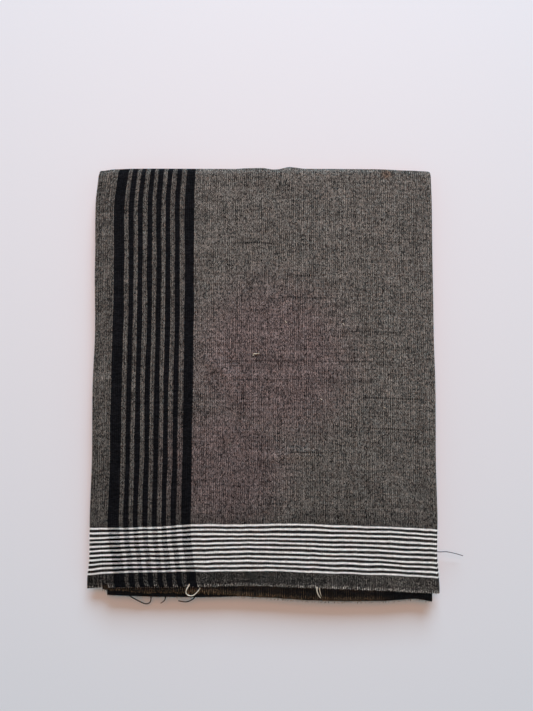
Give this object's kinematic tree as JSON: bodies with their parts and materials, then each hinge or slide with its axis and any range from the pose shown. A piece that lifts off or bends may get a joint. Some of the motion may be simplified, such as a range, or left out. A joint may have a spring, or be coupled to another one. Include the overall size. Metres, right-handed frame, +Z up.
{
  "type": "lungi",
  "caption": "Folded cotton lungi lying flat: grey-brown chambray with black border stripes along one side, a white striped end band and a dark heading at the cut ends.",
  "frame": {"origin": "middle of the flat underside of the folded stack", "axes": "+Z up from the surface that it lies on, +Y along the stack from the cut ends towards the far fold, +X across it towards the folded side edge"},
  "size_m": [0.3149, 0.3752, 0.0161],
  "materials": {
    "body_cloth": "matt plain-woven cotton chambray with slubs, black warp stripes and white weft lines",
    "heading_cloth": "matt plain-woven cotton, near black with light flecks",
    "inner_cloth": "matt plain-woven cotton, folded edges in shade",
    "loose_yarn": "matt twisted cotton yarn"
  },
  "bodies": {
    "root": {"top_panel": "body_cloth", "under_panel": "body_cloth", "second_layer": "heading_cloth", "hidden_layers": "inner_cloth", "frayed_end": "heading_cloth", "side_yarn": "loose_yarn"}
  },
  "joints": []
}
